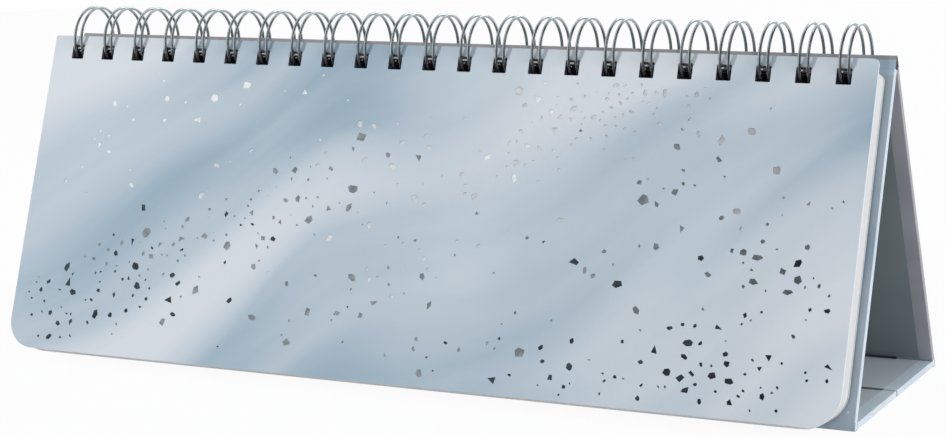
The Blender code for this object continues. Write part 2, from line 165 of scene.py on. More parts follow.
class Shader:
    """A material with a Principled BSDF and short helpers for its nodes."""

    def __init__(self, name, roughness, metallic=0.0, specular=0.5):
        self.material = bpy.data.materials.new(name)
        self.material.use_nodes = True
        self.tree = self.material.node_tree
        self.bsdf = self.tree.nodes["Principled BSDF"]
        self.bsdf.inputs["Roughness"].default_value = roughness
        self.bsdf.inputs["Metallic"].default_value = metallic
        self.bsdf.inputs["Specular IOR Level"].default_value = specular
        self.place = self.tree.nodes.new("ShaderNodeTexCoord").outputs["Object"]

    def link(self, a, b):
        self.tree.links.new(a, b)

    def mapped(self, turn=(0, 0, 0), scale=(1, 1, 1), shift=(0, 0, 0), source=None):
        node = self.tree.nodes.new("ShaderNodeMapping")
        node.inputs["Rotation"].default_value = turn
        node.inputs["Scale"].default_value = scale
        node.inputs["Location"].default_value = shift
        self.link(source or self.place, node.inputs["Vector"])
        return node.outputs["Vector"]

    def noise(self, vector, scale, detail=2.0, roughness=0.5, distortion=0.0):
        node = self.tree.nodes.new("ShaderNodeTexNoise")
        node.inputs["Scale"].default_value = scale
        node.inputs["Detail"].default_value = detail
        node.inputs["Roughness"].default_value = roughness
        node.inputs["Distortion"].default_value = distortion
        self.link(vector, node.inputs["Vector"])
        return node.outputs["Fac"]

    def warped(self, vector, scale, amount):
        """The same coordinates pushed about by a slow noise."""
        node = self.tree.nodes.new("ShaderNodeTexNoise")
        node.inputs["Scale"].default_value = scale
        node.inputs["Detail"].default_value = 1.0
        self.link(vector, node.inputs["Vector"])
        push = self.tree.nodes.new("ShaderNodeVectorMath")
        push.operation = "MULTIPLY_ADD"
        self.link(node.outputs["Color"], push.inputs[0])
        push.inputs[1].default_value = (amount, amount, amount)
        self.link(vector, push.inputs[2])
        return push.outputs[0]

    def voronoi(self, vector, scale):
        node = self.tree.nodes.new("ShaderNodeTexVoronoi")
        node.inputs["Scale"].default_value = scale
        self.link(vector, node.inputs["Vector"])
        return node

    def ramp(self, value, stops, smooth=True):
        node = self.tree.nodes.new("ShaderNodeValToRGB")
        node.color_ramp.interpolation = "EASE" if smooth else "LINEAR"
        while len(node.color_ramp.elements) < len(stops):
            node.color_ramp.elements.new(0.5)
        for element, (at, colour) in zip(node.color_ramp.elements, stops):
            element.position = at
            element.color = colour
        self.link(value, node.inputs["Fac"])
        return node.outputs["Color"]

    def mix(self, factor, a, b, kind="MIX"):
        node = self.tree.nodes.new("ShaderNodeMix")
        node.data_type = "RGBA"
        node.blend_type = kind
        for value, socket in ((factor, node.inputs[0]), (a, node.inputs[6]), (b, node.inputs[7])):
            if isinstance(value, (int, float, tuple)):
                socket.default_value = value
            else:
                self.link(value, socket)
        return node.outputs[2]

    def maths(self, kind, a, b=0.0, c=0.0):
        node = self.tree.nodes.new("ShaderNodeMath")
        node.operation = kind
        for value, socket in zip((a, b, c), node.inputs):
            if isinstance(value, (int, float)):
                socket.default_value = value
            else:
                self.link(value, socket)
        return node.outputs[0]

    def colour(self, value):
        if isinstance(value, tuple):
            self.bsdf.inputs["Base Color"].default_value = value
        else:
            self.link(value, self.bsdf.inputs["Base Color"])

    def bump(self, height, distance, strength):
        node = self.tree.nodes.new("ShaderNodeBump")
        node.inputs["Strength"].default_value = strength
        node.inputs["Distance"].default_value = distance
        self.link(height, node.inputs["Height"])
        self.link(node.outputs["Normal"], self.bsdf.inputs["Normal"])

    def roughness(self, value):
        self.link(value, self.bsdf.inputs["Roughness"])


def fibre(shader, strength=0.25, distance=0.00004, scale=2600.0):
    """Fine fibre relief of a paper face."""
    grain = shader.noise(shader.mapped(scale=(1.0, 1.0, 1.6)), scale, 4.0, 0.6)
    shader.bump(grain, distance, strength)
    return grain


# Marbling: where the noise is read, slope of the bands in degrees, and each layer's share
MARBLE_SHIFT = (0.31, 0.0, 0.12)
MARBLE_SLOPE = 28.0
BROAD_SHARE = 0.80
CREASE_SHARE = 0.14
FINE_SHARE = 0.11
MARBLE_LEVEL = -0.01
MARBLE_STOPS = (0.345, 0.43, 0.49, 0.55, 0.63)
MARBLE_TONES = (
    rgb(145, 167, 183),
    rgb(175, 189, 200),
    rgb(188, 199, 208),
    rgb(197, 205, 213),
    rgb(207, 213, 219),
)
BLACK = (0.0, 0.0, 0.0, 1.0)
WHITE = (1.0, 1.0, 1.0, 1.0)


def marbled_sheet(name, roughness):
    """Soft wavy bands that run up from left to right over a sheet, like brushed ink."""
    shader = Shader(name, roughness, specular=0.4)
    flat = shader.mapped(turn=(LEAN, 0.0, 0.0), shift=MARBLE_SHIFT)
    bent = shader.warped(shader.warped(flat, 6.0, 0.085), 15.0, 0.02)
    slanted = shader.mapped(turn=(0.0, math.radians(MARBLE_SLOPE), 0.0), source=bent)
    broad = shader.noise(shader.mapped(scale=(6.5, 1.0, 21.0), source=slanted), 1.0, 1.3, 0.4)
    crease = shader.noise(shader.mapped(scale=(5.0, 1.0, 17.0), source=slanted), 1.2, 1.0, 0.4)
    crease = shader.maths("ABSOLUTE", shader.maths("SUBTRACT", crease, 0.5))
    crease = shader.maths("MINIMUM", shader.maths("MULTIPLY", crease, 4.0), 0.5)
    fine = shader.noise(shader.mapped(scale=(11.0, 1.0, 95.0), source=slanted), 1.0, 2.5, 0.5)
    value = shader.maths("MULTIPLY_ADD", broad, BROAD_SHARE, MARBLE_LEVEL)
    value = shader.maths("ADD", value, shader.maths("MULTIPLY", crease, CREASE_SHARE))
    value = shader.maths("ADD", value, shader.maths("MULTIPLY", fine, FINE_SHARE))
    tint = shader.ramp(value, list(zip(MARBLE_STOPS, MARBLE_TONES)), smooth=False)
    grain = shader.ramp(shader.noise(flat, 3800.0, 2.0), ((0.3, BLACK), (0.7, WHITE)))
    shader.colour(shader.mix(0.03, tint, grain, "OVERLAY"))
    shader.bump(shader.noise(flat, 900.0, 4.0, 0.6), 0.00003, 0.2)
    return shader.material


COVER_PRINT = marbled_sheet("cover_print", 0.42)

# Painted shade on a page over its holes, so the holes look dark: half width and lower end in
# millimetres, strength
HOLE_SHADE_HALF_WIDTH = 2.6
HOLE_SHADE_LOW = 103.0
HOLE_SHADE_SHARE = 0.9
HOLE_SHADE_TONE = rgb(58, 50, 64)


def painted_hole_shade(shader):
    """1 in a narrow patch of painted shade over each hole of a sheet on the front panel, 0
    elsewhere.
    """
    split = shader.tree.nodes.new("ShaderNodeSeparateXYZ")
    shader.link(shader.place, split.inputs[0])
    x, y, z = split.outputs
    # 100.5 pitches keep the value positive and put a hole's middle at one half
    column = shader.maths("FRACT", shader.maths("MULTIPLY_ADD", x, 1.0 / (PITCH * MM), 100.5))
    column = shader.maths("ABSOLUTE", shader.maths("SUBTRACT", column, 0.5))
    column = shader.maths("LESS_THAN", column, HOLE_SHADE_HALF_WIDTH / PITCH)
    up = shader.maths("MULTIPLY_ADD", y, SIN, (BASE_DEPTH / 2 + ORIGIN_Y) * SIN * MM)
    up = shader.maths("MULTIPLY_ADD", z, COS, up)
    return shader.maths("MULTIPLY", column, shader.maths("GREATER_THAN", up, HOLE_SHADE_LOW * MM))


def paper_material(name, colour, shade, roughness=0.8, hole_shaded=False):
    """Plain paper with fine fibres, optionally with painted shade over its holes."""
    shader = Shader(name, roughness, specular=0.3)
    grain = fibre(shader)
    clouds = shader.noise(shader.place, 60.0, 3.0)
    base = shader.mix(shader.maths("MULTIPLY", clouds, 0.5), colour, shade)
    if hole_shaded:
        hole_shade_amount = shader.maths("MULTIPLY", painted_hole_shade(shader), HOLE_SHADE_SHARE)
        base = shader.mix(hole_shade_amount, base, HOLE_SHADE_TONE)
    shader.colour(shader.mix(shader.maths("MULTIPLY", grain, 0.12), base, shade))
    return shader.material


PAGE_TONES = (rgb(243, 241, 240), rgb(232, 228, 229))
PAGE = paper_material("page_paper", *PAGE_TONES)
HOLE_SHADED_PAGE = paper_material("page_paper_painted_hole_shade", *PAGE_TONES, hole_shaded=True)
PAGE_EDGE = paper_material("page_edge", rgb(245, 245, 245), rgb(228, 228, 229), 0.9)
CARD_EDGE = paper_material("card_edge", rgb(240, 243, 246), rgb(226, 231, 235), 0.7)
# The punched holes' edges are painted dark: painted shade inside the holes
HOLE_EDGE_SHADE = paper_material("hole_edge_painted_shade", rgb(72, 61, 80), rgb(50, 42, 56), 0.95)
BACKING = paper_material("backing_card_face", rgb(226, 224, 220), rgb(208, 205, 200))
COVER_BACK = paper_material("cover_reverse", rgb(240, 241, 242), rgb(228, 230, 232), 0.6)


def greyboard_material():
    shader = Shader("greyboard", 0.9, specular=0.2)
    specks = shader.noise(shader.place, 1400.0, 3.0, 0.7)
    layers = shader.noise(shader.mapped(scale=(1, 1, 30)), 120.0, 2.0)
    base = shader.ramp(specks, ((0.3, rgb(108, 102, 94)), (0.65, rgb(158, 150, 138))))
    shader.colour(shader.mix(shader.maths("MULTIPLY", layers, 0.4), base, rgb(128, 120, 110)))
    shader.bump(specks, 0.00006, 0.5)
    return shader.material


GREYBOARD = greyboard_material()

# Covering paper; a voronoi cell's middle is a speck where its random colour is high enough
WRAP_ROUGHNESS = 0.45
SPECK_SCALE = 210.0
SPECK_SIZE = 0.22


def wrap_material(name, dark, pale, speck, amount):
    """Printed covering paper: clouded colour, fine linen-like grain and a few pale specks."""
    shader = Shader(name, WRAP_ROUGHNESS)
    clouds = shader.noise(shader.mapped(scale=(3.0, 8.0, 8.0)), 4.0, 3.0, 0.5, 0.8)
    base = shader.ramp(clouds, ((0.34, dark), (0.66, pale)))
    cells = shader.voronoi(shader.place, SPECK_SCALE)
    split = shader.tree.nodes.new("ShaderNodeSeparateColor")
    shader.link(cells.outputs["Color"], split.inputs[0])
    near = shader.maths("LESS_THAN", cells.outputs["Distance"], SPECK_SIZE)
    rare = shader.maths("GREATER_THAN", split.outputs[0], 1.0 - amount)
    shader.colour(shader.mix(shader.maths("MULTIPLY", near, rare), base, speck))
    shader.bump(shader.noise(shader.place, 1500.0, 3.0, 0.55), 0.00004, 0.3)
    return shader.material


BLUE_WRAP = wrap_material(
    "blue_wrap", rgb(152, 171, 185), rgb(176, 191, 202), rgb(222, 228, 232), 0.02
)
TAUPE_WRAP = wrap_material(
    "taupe_wrap", rgb(144, 142, 149), rgb(158, 156, 162), rgb(218, 220, 226), 0.06
)
RIDGE_WRAP = wrap_material(
    "ridge_wrap", rgb(140, 139, 144), rgb(152, 151, 156), rgb(204, 206, 210), 0.03
)
# Lighter copies of the covering paper for the rounded side edges: painted highlight
BLUE_EDGE_HIGHLIGHT = wrap_material(
    "blue_wrap_edge_painted_highlight", rgb(206, 219, 229), rgb(222, 232, 239), rgb(236, 241, 244), 0.02
)
TAUPE_EDGE_HIGHLIGHT = wrap_material(
    "taupe_wrap_edge_painted_highlight", rgb(160, 159, 165), rgb(176, 175, 180), rgb(214, 216, 222), 0.04
)
# Lighter copies of the covering paper for the turned-in strips: painted light
BLUE_TURNED_LIT = wrap_material(
    "blue_wrap_turned_in_painted_light", rgb(202, 217, 227), rgb(214, 227, 235), rgb(236, 241, 244), 0.02
)
TAUPE_TURNED_LIT = wrap_material(
    "taupe_wrap_turned_in_painted_light", rgb(164, 163, 171), rgb(180, 179, 186), rgb(222, 224, 229), 0.05
)


def liner_material(name, dark, pale):
    shader = Shader(name, 0.75, specular=0.3)
    clouds = shader.noise(shader.place, 25.0, 3.0)
    grain = fibre(shader, 0.35, 0.00005, 1800.0)
    base = shader.ramp(clouds, ((0.3, dark), (0.7, pale)))
    shader.colour(shader.mix(shader.maths("MULTIPLY", grain, 0.15), base, dark))
    return shader.material


LINER = liner_material("liner_paper", rgb(190, 199, 205), rgb(202, 210, 216))
# A darker copy of the liner paper for the stand's inner faces: painted shade
SHADED_LINER = liner_material("liner_paper_painted_shade", rgb(134, 144, 147), rgb(146, 155, 158))
# Darker liner paper for a strip by the base's crease: painted shade in the crease
CREASE_SHADE_LINER = liner_material("liner_paper_painted_crease_shade", rgb(84, 90, 94), rgb(104, 110, 114))


def wire_material():
    shader = Shader("pewter_wire", 0.2, 0.9)
    tarnish = shader.noise(shader.place, 240.0, 3.0, 0.6)
    shader.colour(shader.ramp(tarnish, ((0.3, rgb(152, 162, 164)), (0.7, rgb(182, 190, 192)))))
    shader.roughness(shader.maths("MULTIPLY_ADD", tarnish, 0.12, 0.12))
    lines = shader.noise(shader.mapped(scale=(6.0, 1.0, 1.0)), 1400.0, 2.0)
    shader.bump(lines, 0.00001, 0.2)
    return shader.material


WIRE_METAL = wire_material()


def foil_material(name, dark, pale, roughness):
    shader = Shader(name, roughness, 0.85)
    value = shader.noise(shader.place, 420.0, 2.0, 0.5)
    shader.colour(shader.ramp(value, ((0.35, dark), (0.65, pale))))
    shader.bump(shader.noise(shader.place, 900.0, 2.0), 0.00003, 0.35)
    return shader.material


# Four tones of foil, dark to bright as painted reflection, then each one's darker rim, painted
# shade
FOIL = [
    foil_material("foil_dark", rgb(48, 56, 63), rgb(70, 78, 86), 0.32),
    foil_material("foil_grey", rgb(120, 127, 132), rgb(150, 156, 160), 0.3),
    foil_material("foil_silver", rgb(196, 200, 204), rgb(216, 220, 223), 0.3),
    foil_material("foil_bright", rgb(216, 221, 224), rgb(238, 241, 243), 0.3),
    foil_material("foil_rim_dark", rgb(44, 51, 58), rgb(62, 69, 76), 0.4),
    foil_material("foil_rim_grey", rgb(92, 99, 104), rgb(114, 121, 126), 0.4),
    foil_material("foil_rim_silver", rgb(120, 127, 132), rgb(144, 151, 156), 0.4),
    foil_material("foil_rim_bright", rgb(148, 158, 164), rgb(168, 177, 183), 0.4),
]


# Meshes
def inside(point, loop):
    """Whether a closed outline goes round a point."""
    crossings = 0
    for k, (x0, y0) in enumerate(loop):
        x1, y1 = loop[(k + 1) % len(loop)]
        if (y0 > point[1]) != (y1 > point[1]):
            if point[0] < x0 + (point[1] - y0) * (x1 - x0) / (y1 - y0):
                crossings += 1
    return crossings % 2 == 1


def cap(loops):
    """Counter-clockwise triangles that fill an outline with holes."""
    flat = [Vector(corner) for loop in loops for corner in loop]
    edges = []
    for loop in loops:
        start = len(edges)
        edges += [(start + k, start + (k + 1) % len(loop)) for k in range(len(loop))]
    made = delaunay_2d_cdt(flat, edges, [], 0, 1e-7, True)
    source = [ids[0] for ids in made[3]]
    triangles = []
    for face in made[2]:
        a, b, c = (source[k] for k in face)
        centre = (flat[a] + flat[b] + flat[c]) / 3
        if not inside(centre, loops[0]) or any(inside(centre, hole) for hole in loops[1:]):
            continue
        left = (flat[b] - flat[a]).cross(flat[c] - flat[a])
        triangles.append((a, b, c) if left > 0 else (a, c, b))
    return triangles


def centres():
    return [(k - (HOLES - 1) / 2) * PITCH for k in range(HOLES)]


def rounded_box(left, right, low, high, radii, steps):
    """Counter-clockwise outline; radii run bottom left, bottom right, top right, top left."""
    corners = (
        (left + radii[0], low + radii[0], radii[0], 180),
        (right - radii[1], low + radii[1], radii[1], 270),
        (right - radii[2], high - radii[2], radii[2], 0),
        (left + radii[3], high - radii[3], radii[3], 90),
    )
    outline = []
    for cx, cy, radius, start in corners:
        for k in range(steps + 1):
            angle = math.radians(start + 90 * k / steps)
            outline.append((cx + radius * math.cos(angle), cy + radius * math.sin(angle)))
    return outline


def hole_row(low, high, width=HOLE_WIDTH, radius=0.3, steps=2):
    """Clockwise outlines of the punched holes between two heights."""
    half = width / 2
    return [
        rounded_box(x - half, x + half, low, high, (radius,) * 4, steps)[::-1] for x in centres()
    ]


def tube_faces(size):
    """Quads between a ring of points and the ring after it."""
    return [(k, (k + 1) % size, (k + 1) % size + size, k + size) for k in range(size)]


QUAD = [(0, 1, 2, 3)]
WELD_DISTANCE = 2e-7


class Build:
    """Points and faces of one piece, in millimetres."""

    def __init__(self):
        self.points = []
        self.faces = []
        self.slots = []

    def add(self, points, faces, slot=0):
        first = len(self.points)
        self.points += points
        self.faces += [tuple(first + k for k in face) for face in faces]
        self.slots += [slot] * len(faces)

    def sheet(self, to_world, loops, inner, outer, slots=(0, 0, 0, 0)):
        """Slots are the outer face, the inner face, the outer edges and the holes' edges."""
        flat = [corner for loop in loops for corner in loop]
        triangles = cap(loops)
        self.add([to_world(x, up, outer) for x, up in flat], triangles, slots[0])
        turned = [(a, c, b) for a, b, c in triangles]
        self.add([to_world(x, up, inner) for x, up in flat], turned, slots[1])
        for order, loop in enumerate(loops):
            points = [to_world(x, up, inner) for x, up in loop]
            points += [to_world(x, up, outer) for x, up in loop]
            self.add(points, tube_faces(len(loop)), slots[3] if order else slots[2])

    def strip(self, to_world, profile, low, high, slots):
        """A profile of (x, out) run up between two heights, with closed ends."""
        size = len(profile)
        points = [to_world(x, low, out) for x, out in profile]
        points += [to_world(x, high, out) for x, out in profile]
        for k in range(size):
            n = (k + 1) % size
            self.add([points[k], points[n], points[n + size], points[k + size]], QUAD, slots[k])
        triangles = cap([profile])
        self.add(points[:size], [(a, c, b) for a, b, c in triangles])
        self.add(points[size:], triangles)

    def piece(self, name, body, materials, replaced, smooth=None, weld=True):
        mesh = bpy.data.meshes.new(name)
        mesh.from_pydata([[c * MM for c in p] for p in self.points], [], self.faces)
        for material in materials:
            mesh.materials.append(material)
        mesh.polygons.foreach_set("material_index", self.slots)
        mesh.update()
        made = bpy.data.objects.new(name, mesh)
        scene.collection.objects.link(made)
        work = bmesh.new()
        work.from_mesh(mesh)
        if weld:
            bmesh.ops.remove_doubles(work, verts=work.verts, dist=WELD_DISTANCE)
            bmesh.ops.recalc_face_normals(work, faces=work.faces)
        work.to_mesh(mesh)
        work.free()
        if smooth:
            mesh.shade_smooth()
            mesh.set_sharp_from_angle(angle=math.radians(smooth))
        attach(made, body)
        if replaced:
            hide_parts(*replaced)


def assign(node, material):
    """Gives a node of the solid model its material."""
    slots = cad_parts[node].data.materials
    slots.clear()
    slots.append(material)


# Front cover
def add_cover():
    cover = Build()
    half = COVER_WIDTH / 2
    radii = (CORNER, CORNER, TOP_CORNER, COVER_LEFT_CORNER)
    cover.sheet(
        front,
        [rounded_box(-half, half, COVER_BOTTOM, COVER_TOP, radii, 20)]
        + hole_row(COVER_HOLE_TOP - HOLE_HEIGHT, COVER_HOLE_TOP),
        COVER_OUTER - COVER_THICK,
        COVER_OUTER,
        (0, 1, 2, 3),
    )
    # The holes' edges take the dark paper of painted shade
    materials = (COVER_PRINT, COVER_BACK, CARD_EDGE, HOLE_EDGE_SHADE)
    cover.piece("cover_sheet", "cover", materials, ("front_cover",))


add_cover()


# Foil flecks on the cover, in loose drifts
def rotated(x, y, angle):
    cos, sin = math.cos(angle), math.sin(angle)
    return x * cos - y * sin, x * sin + y * cos


def fleck_shape(rng, size):
    count = rng.choice((3, 4, 4, 5, 5, 6))
    turn = rng.uniform(0, 2 * math.pi)
    squash = rng.uniform(0.5, 0.95)
    lean = rng.uniform(0, math.pi)
    points = []
    for k in range(count):
        angle = turn + 2 * math.pi * (k + rng.uniform(-0.22, 0.22)) / count
        radius = size / 2 * rng.uniform(0.8, 1.15)
        x = radius * math.cos(angle)
        y = radius * math.sin(angle) * squash
        points.append(rotated(x, y, lean))
    return points


# Each drift: centre, spread along and across, slope in degrees, number of flecks, tone of painted
# reflection
DRIFTS = (
    ((-120, 20), (24, 8), 26, 62, 0.10),
    ((-78, 40), (26, 8), 30, 58, 0.28),
    ((-30, 56), (20, 9), 34, 34, 0.42),
    ((-104, 82), (30, 11), 18, 24, 0.95),
    ((-6, 30), (22, 8), 28, 34, 0.45),
    ((38, 84), (22, 7), 36, 46, 0.72),
    ((72, 92), (16, 6), 22, 40, 0.62),
    ((88, 66), (18, 8), 42, 26, 0.36),
    ((124, 36), (14, 12), 52, 40, 0.22),
    ((96, 10), (32, 6), 8, 58, 0.06),
    ((40, 18), (26, 6), 20, 18, 0.30),
    ((0, 58), (92, 30), 10, 34, 0.55),
)
FLECK_SEED = 4127
FLECK_TRIES = 4000
FLECK_LEAST = 0.85
FLECK_SPREAD = 2.9
FLECK_LIFT = 0.012
RIM_LIFT = 0.006
RIM_GROWTH = 0.12
RIM_SHADE_SHIFT = (-0.07, 0.09)
GLINT_LIMITS = (0.22, 0.48, 0.76)


def on_card(x, y):
    """Whether a fleck's middle keeps off the edges, the rounded corners and the holes."""
    return -147 < x < 147 and 0.6 < y < 99 and not (abs(x) > 138 and y < 10)


def crowded(x, y, size, placed):
    """Whether a fleck comes too near to one that is there already."""
    return any(
        (x - a) ** 2 + (y - b) ** 2 < (0.8 + 0.55 * (size + other)) ** 2
        for a, b, other in placed
    )


def add_flecks():
    rng = random.Random(FLECK_SEED)
    flecks = Build()
    top = COVER_OUTER + FLECK_LIFT
    placed = []
    for (cx, cy), (along, across), slope, count, glint_tone in DRIFTS:
        angle = math.radians(slope)
        made = 0
        tries = 0
        while made < count and tries < FLECK_TRIES:
            tries += 1
            u = rng.gauss(0, along)
            v = rng.gauss(0, across)
            x = cx + u * math.cos(angle) - v * math.sin(angle)
            y = cy + u * math.sin(angle) + v * math.cos(angle)
            size = FLECK_LEAST + FLECK_SPREAD * rng.random() ** 2.4
            if not on_card(x, y) or crowded(x, y, size, placed):
                continue
            placed.append((x, y, size))
            made += 1
            shape = fleck_shape(rng, size)
            # Painted reflection: flecks higher up the cover take brighter foil, lower ones darker
            level = glint_tone + (y - cy) / 160 + rng.gauss(0, 0.09)
            slot = sum(level >= limit for limit in GLINT_LIMITS)
            face = tuple(range(len(shape)))
            grow = 1.0 + RIM_GROWTH / size
            # A darker rim, a little larger and set up and to the left, gives each fleck an outline
            # of painted shade
            rim = [(x + a * grow + RIM_SHADE_SHIFT[0], y + b * grow + RIM_SHADE_SHIFT[1]) for a, b in shape]
            rim = [front(px, py, top - RIM_LIFT) for px, py in rim]
            flecks.add(rim, [face], slot + len(FOIL) // 2)
            flecks.add([front(x + a, y + b, top) for a, b in shape], [face], slot)
    flecks.piece("foil_flecks", "cover", FOIL, (), weld=False)


add_flecks()


# Leaves: thin sheets for each month's solid; those near the dish's level sit lower
SHEETS = 6
SHEET_GAP = 0.012
SWELL = 0.1
HOLE_MARGIN = 1.35
WIRE_MARGIN = 0.3
LEAF_SEED = 88


def crossing(level):
    """Lowest height at which the wire passes a distance out from the panel."""
    reach = LOOP_RADIUS + WIRE / 2
    return LOOP_UP - math.sqrt(reach**2 - (level - LOOP_OUT) ** 2)


def leaf_outline(low, high, steps, dx=0.0):
    half = LEAF_WIDTH / 2
    radii = (CORNER, CORNER, TOP_CORNER, TOP_CORNER)
    return rounded_box(-half + dx, half + dx, low, high, radii, steps)


def add_leaves():
    rng = random.Random(LEAF_SEED)
    step = (LEAVES_THICK + 2 * SWELL) / SHEETS
    for order, month in enumerate(MONTHS):
        outer = LEAVES_OUTER - order * LEAVES_PITCH
        from_dish = abs(outer - LEAVES_THICK / 2 - DISH_OUT)
        high = LEAF_TOP - DISH_DEPTH * max(0.0, 1.0 - from_dish / DISH_REACH)
        low = high - LEAF_HEIGHT
        hole_top = min(high - 0.4, max(high - HOLE_MARGIN, COVER_HOLE_TOP))
        wire_low = min(crossing(outer), crossing(outer - LEAVES_THICK))
        hole_low = min(hole_top - HOLE_HEIGHT, wire_low - WIRE_MARGIN)
        holes = hole_row(hole_low, hole_top, HOLE_WIDTH + 0.3, radius=0.25, steps=1)
        stack = Build()
        for k in range(SHEETS):
            level = outer + SWELL - k * step
            dx = rng.uniform(-0.1, 0.1)
            dy = rng.uniform(-0.12, 0.0)
            loops = [leaf_outline(low + dy, high + dy, 8, dx)] + holes
            stack.sheet(front, loops, level - step + SHEET_GAP, level, (0, 0, 1, 2))
        # Leaves behind the first get painted shade over their holes; every leaf's hole edges carry
        # painted shade too
        materials = (HOLE_SHADED_PAGE if order else PAGE, PAGE_EDGE, HOLE_EDGE_SHADE)
        stack.piece(month + "_sheets", month, materials, (month + "_leaves",))


def add_backing():
    card = Build()
    inner = BACKING_OUTER - BACKING_THICK
    holes = hole_row(crossing(inner) - WIRE_MARGIN, LEAF_TOP - HOLE_MARGIN)
    outline = leaf_outline(LEAF_TOP - LEAF_HEIGHT, LEAF_TOP, 10)
    card.sheet(front, [outline] + holes, inner, BACKING_OUTER)
    card.piece("backing_sheet", "backing", (BACKING,), ("backing_card",))


add_leaves()
add_backing()


# Covering paper of the boards, with softly rounded side edges
EDGE_RADIUS = 0.3
EDGE_STEPS = 6
# A hole cuts into the turned-in strip where it is nearer than this to the strip's end
HOLE_REACH = 6
# How far a panel's paper runs past its board
PAPER_PAST_BOARD = 0.13


def edge_profile(side):
    """Half of the wrap's section, from the outer face round the edge to the turn-in."""
    half = STAND_WIDTH / 2
    r = EDGE_RADIUS
    points = []
    for cx, cy, start in ((half - r, -r, 90), (half - r, -THICK + r, 0)):
        for k in range(EDGE_STEPS + 1):
            angle = math.radians(start - 90 * k / EDGE_STEPS)
            points.append((side * (cx + r * math.cos(angle)), cy + r * math.sin(angle)))
    return points


def wrap(name, body, to_world, low, high, holes, materials, node):
    half = STAND_WIDTH / 2
    r = EDGE_RADIUS
    made = Build()
    loops = [[(-half + r, low), (half - r, low), (half - r, high), (-half + r, high)]] + holes
    flat = [corner for loop in loops for corner in loop]
    triangles = cap(loops)
    made.add([to_world(x, up, 0.0) for x, up in flat], triangles)
    reverse = [(a, c, b) for a, b, c in triangles]
    made.add([to_world(x, up, -PAPER) for x, up in flat], reverse)
    for hole in holes:
        ring = [to_world(x, up, -PAPER) for x, up in hole]
        ring += [to_world(x, up, 0.0) for x, up in hole]
        made.add(ring, tube_faces(len(hole)))
    for side in (-1, 1):
        curve = edge_profile(side)
        turned_end = side * (half - TURN_IN)
        skin = half - PAPER
        section = curve + [
            (turned_end, -THICK), (turned_end, -THICK + PAPER),
            (side * (skin - r), -THICK + PAPER), (side * skin, -THICK + 2 * r),
            (side * skin, -2 * r), (side * (skin - r), -PAPER),
        ]
        # The curve is the edge; the face after it is the turned-in strip
        turned_face = len(curve) - 1
        slots = [1] * turned_face + [2] + [0] * (len(section) - len(curve))
        edge = [h for h in holes if any(abs(x - turned_end) < HOLE_REACH for x, up in h)]
        if edge:
            base = min(up for x, up in edge[0])
            crown = max(up for x, up in edge[0])
            made.strip(to_world, section, low, base, slots)
            made.strip(to_world, section, crown, high, slots)
            far = max(side * x for x, up in edge[0])
            cut = list(section)
            cut[turned_face + 1] = (side * far, -THICK)
            cut[turned_face + 2] = (side * far, -THICK + PAPER)
            made.strip(to_world, cut, base, crown, slots)
        else:
            made.strip(to_world, section, low, high, slots)
    made.piece(name, body, materials, (node,), smooth=35)


BLUES = (BLUE_WRAP, BLUE_EDGE_HIGHLIGHT, BLUE_TURNED_LIT)
TAUPES = (TAUPE_WRAP, TAUPE_EDGE_HIGHLIGHT, TAUPE_TURNED_LIT)
PANEL_START = BOARD_START - PAPER_PAST_BOARD
wrap("front_panel_paper", "stand_front", front, PANEL_START, BOARD_TOP + PAPER_PAST_BOARD,
     hole_row(*FRONT_SLOT), BLUES, "front_wrap")
wrap("back_panel_paper", "stand_back", back, PANEL_START, BOARD_TOP,
     hole_row(*BACK_SLOT), TAUPES, "back_wrap")
wrap("base_front_paper", "base_front", base_front, BOARD_START, CREASE_END,
     [], BLUES, "base_front_wrap")
wrap("base_rear_paper", "base_rear", base_rear, BOARD_START, CREASE_END,
     [], BLUES, "base_rear_wrap")


# Folded paper at the ridge and the feet
FOLD_RADIUS = 0.6
FOLD_STEPS = 10


def fold_line(first, corner, last, radius):
    """Two legs joined by an arc at the corner."""
    a, b, c = Vector(first), Vector(corner), Vector(last)
    u = (a - b).normalized()
    v = (c - b).normalized()
    half = u.angle(v) / 2
    centre = b + (u + v).normalized() * (radius / math.sin(half))
    p = b + u * (radius / math.tan(half)) - centre
    q = b + v * (radius / math.tan(half)) - centre
    total = p.angle_signed(q)
    points = [tuple(a)]
    for k in range(FOLD_STEPS + 1):
        angle = -total * k / FOLD_STEPS
        points.append((
            centre.x + p.x * math.cos(angle) - p.y * math.sin(angle),
            centre.y + p.x * math.sin(angle) + p.y * math.cos(angle),
        ))
    points.append(tuple(c))
    return points


def inner_line(first, corner, last, depth, radius):
    """The same line a depth further in."""
    a, b, c = Vector(first), Vector(corner), Vector(last)
    u = (a - b).normalized()
    v = (c - b).normalized()
    half = u.angle(v) / 2
    inner = b + (u + v).normalized() * (depth / math.sin(half))
    shift = depth / math.tan(half)
    return fold_line(
        tuple(inner + u * ((a - b).length - shift)),
        tuple(inner),
        tuple(inner + v * ((c - b).length - shift)),
        radius - depth,
    )


